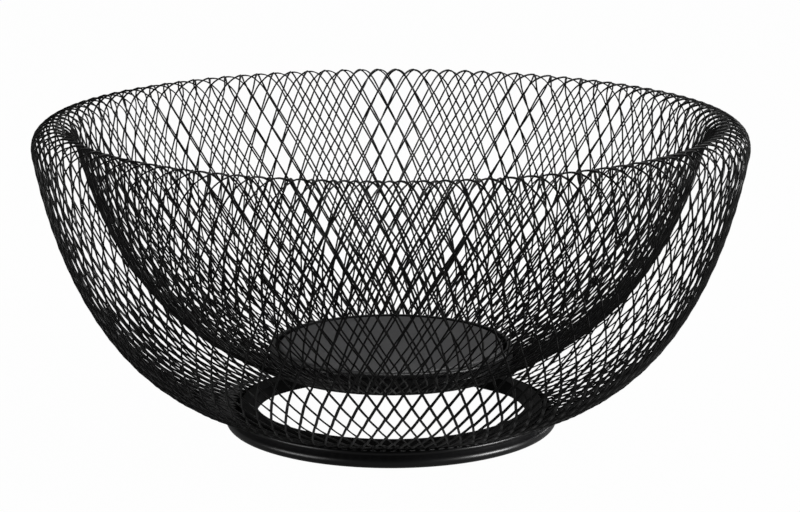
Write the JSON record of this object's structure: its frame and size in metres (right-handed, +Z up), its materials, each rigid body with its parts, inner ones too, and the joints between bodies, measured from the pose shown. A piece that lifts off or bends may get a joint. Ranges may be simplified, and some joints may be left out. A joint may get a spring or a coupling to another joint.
{
  "type": "wire bread basket",
  "caption": "Round black bread basket of diamond wire net: a double wall that rolls over the rim, a raised floor plate inside and a banded foot ring below.",
  "frame": {"origin": "centre of the foot ring, on the table", "axes": "+Z up along the basket's axis; the basket is round, so +X and +Y are free, and -Y faces the picture's camera"},
  "size_m": [0.2998, 0.2998, 0.1319],
  "materials": {
    "net": "satin black powder coat",
    "ring": "semi-gloss black powder coat",
    "plate": "satin black powder coat"
  },
  "bodies": {
    "root": {"outer_net": "net", "rim_net": "net", "inner_net": "net", "floor_net": "net", "foot_collar": "ring", "foot_band": "ring", "floor_plate": "plate", "floor_band": "ring"}
  },
  "joints": []
}
